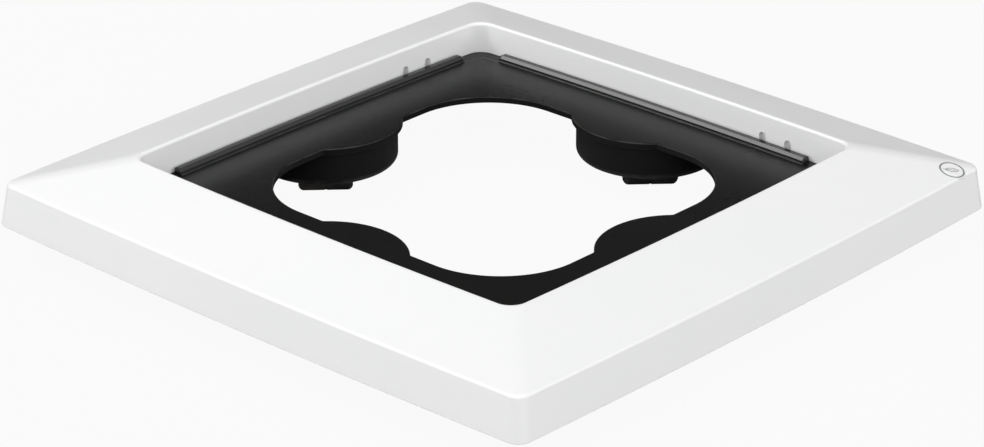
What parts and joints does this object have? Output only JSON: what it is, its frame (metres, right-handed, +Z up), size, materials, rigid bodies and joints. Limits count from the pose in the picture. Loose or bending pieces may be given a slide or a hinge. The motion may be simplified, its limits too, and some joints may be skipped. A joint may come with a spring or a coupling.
{
  "type": "rolling planter base",
  "caption": "Low square rolling base for a square planter: white sloping cover frame around a black carrier plate with an open centre, on swivelling rollers hidden in cups under the plate.",
  "frame": {"origin": "on the floor under the centre of the base", "axes": "+Z up; X and Y square to the straight sides; the badge is in the +X +Y corner"},
  "size_m": [0.44, 0.44, 0.0643],
  "materials": {
    "cover_white": "satin white moulding",
    "carrier_black": "fine grained black moulding",
    "badge_grey": "white disc with a grey printed ring",
    "zinc_screw": "bright zinc plate",
    "zinc_pressing": "zinc plated pressing",
    "steel_pin": "turned steel",
    "washer_nylon": "natural nylon",
    "core_nylon": "black nylon",
    "tyre_rubber": "soft dark tread"
  },
  "bodies": {
    "base": {"carrier_plate": "carrier_black", "cover_frame": "cover_white", "corner_badge": "badge_grey", "caster_screws": "zinc_screw", "cover_screws": "zinc_screw", "right_top_plate": "zinc_pressing", "right_thrust_washer": "washer_nylon", "right_kingpin": "zinc_pressing", "back_top_plate": "zinc_pressing", "back_thrust_washer": "washer_nylon", "back_kingpin": "zinc_pressing", "left_top_plate": "zinc_pressing", "left_thrust_washer": "washer_nylon", "left_kingpin": "zinc_pressing", "front_top_plate": "zinc_pressing", "front_thrust_washer": "washer_nylon", "front_kingpin": "zinc_pressing"},
    "right_swivel": {"right_yoke": "zinc_pressing", "right_axle": "steel_pin", "right_push_nut": "zinc_pressing", "right_side_washers": "washer_nylon"},
    "right_roller": {"right_roller_core": "core_nylon", "right_roller_tyre": "tyre_rubber"},
    "back_swivel": {"back_yoke": "zinc_pressing", "back_axle": "steel_pin", "back_push_nut": "zinc_pressing", "back_side_washers": "washer_nylon"},
    "back_roller": {"back_roller_core": "core_nylon", "back_roller_tyre": "tyre_rubber"},
    "left_swivel": {"left_yoke": "zinc_pressing", "left_axle": "steel_pin", "left_push_nut": "zinc_pressing", "left_side_washers": "washer_nylon"},
    "left_roller": {"left_roller_core": "core_nylon", "left_roller_tyre": "tyre_rubber"},
    "front_swivel": {"front_yoke": "zinc_pressing", "front_axle": "steel_pin", "front_push_nut": "zinc_pressing", "front_side_washers": "washer_nylon"},
    "front_roller": {"front_roller_core": "core_nylon", "front_roller_tyre": "tyre_rubber"}
  },
  "joints": [
    {"name": "right_swivel_turn", "type": "hinge", "parent": "base", "child": "right_swivel", "pos_m": [0.1476, 0, 0.033], "axis": [0, 0, 1], "continuous": true},
    {"name": "right_roller_spin", "type": "hinge", "parent": "right_swivel", "child": "right_roller", "pos_m": [0.15538, -0.00778, 0.015], "axis": [0.7071, 0.7071, 0], "continuous": true},
    {"name": "back_swivel_turn", "type": "hinge", "parent": "base", "child": "back_swivel", "pos_m": [0, 0.1476, 0.033], "axis": [0, 0, 1], "continuous": true},
    {"name": "back_roller_spin", "type": "hinge", "parent": "back_swivel", "child": "back_roller", "pos_m": [0.00778, 0.13982, 0.015], "axis": [0.7071, 0.7071, 0], "continuous": true},
    {"name": "left_swivel_turn", "type": "hinge", "parent": "base", "child": "left_swivel", "pos_m": [-0.1476, 0, 0.033], "axis": [0, 0, 1], "continuous": true},
    {"name": "left_roller_spin", "type": "hinge", "parent": "left_swivel", "child": "left_roller", "pos_m": [-0.13982, -0.00778, 0.015], "axis": [0.7071, 0.7071, 0], "continuous": true},
    {"name": "front_swivel_turn", "type": "hinge", "parent": "base", "child": "front_swivel", "pos_m": [0, -0.1476, 0.033], "axis": [0, 0, 1], "continuous": true},
    {"name": "front_roller_spin", "type": "hinge", "parent": "front_swivel", "child": "front_roller", "pos_m": [0.00778, -0.15538, 0.015], "axis": [0.7071, 0.7071, 0], "continuous": true}
  ]
}
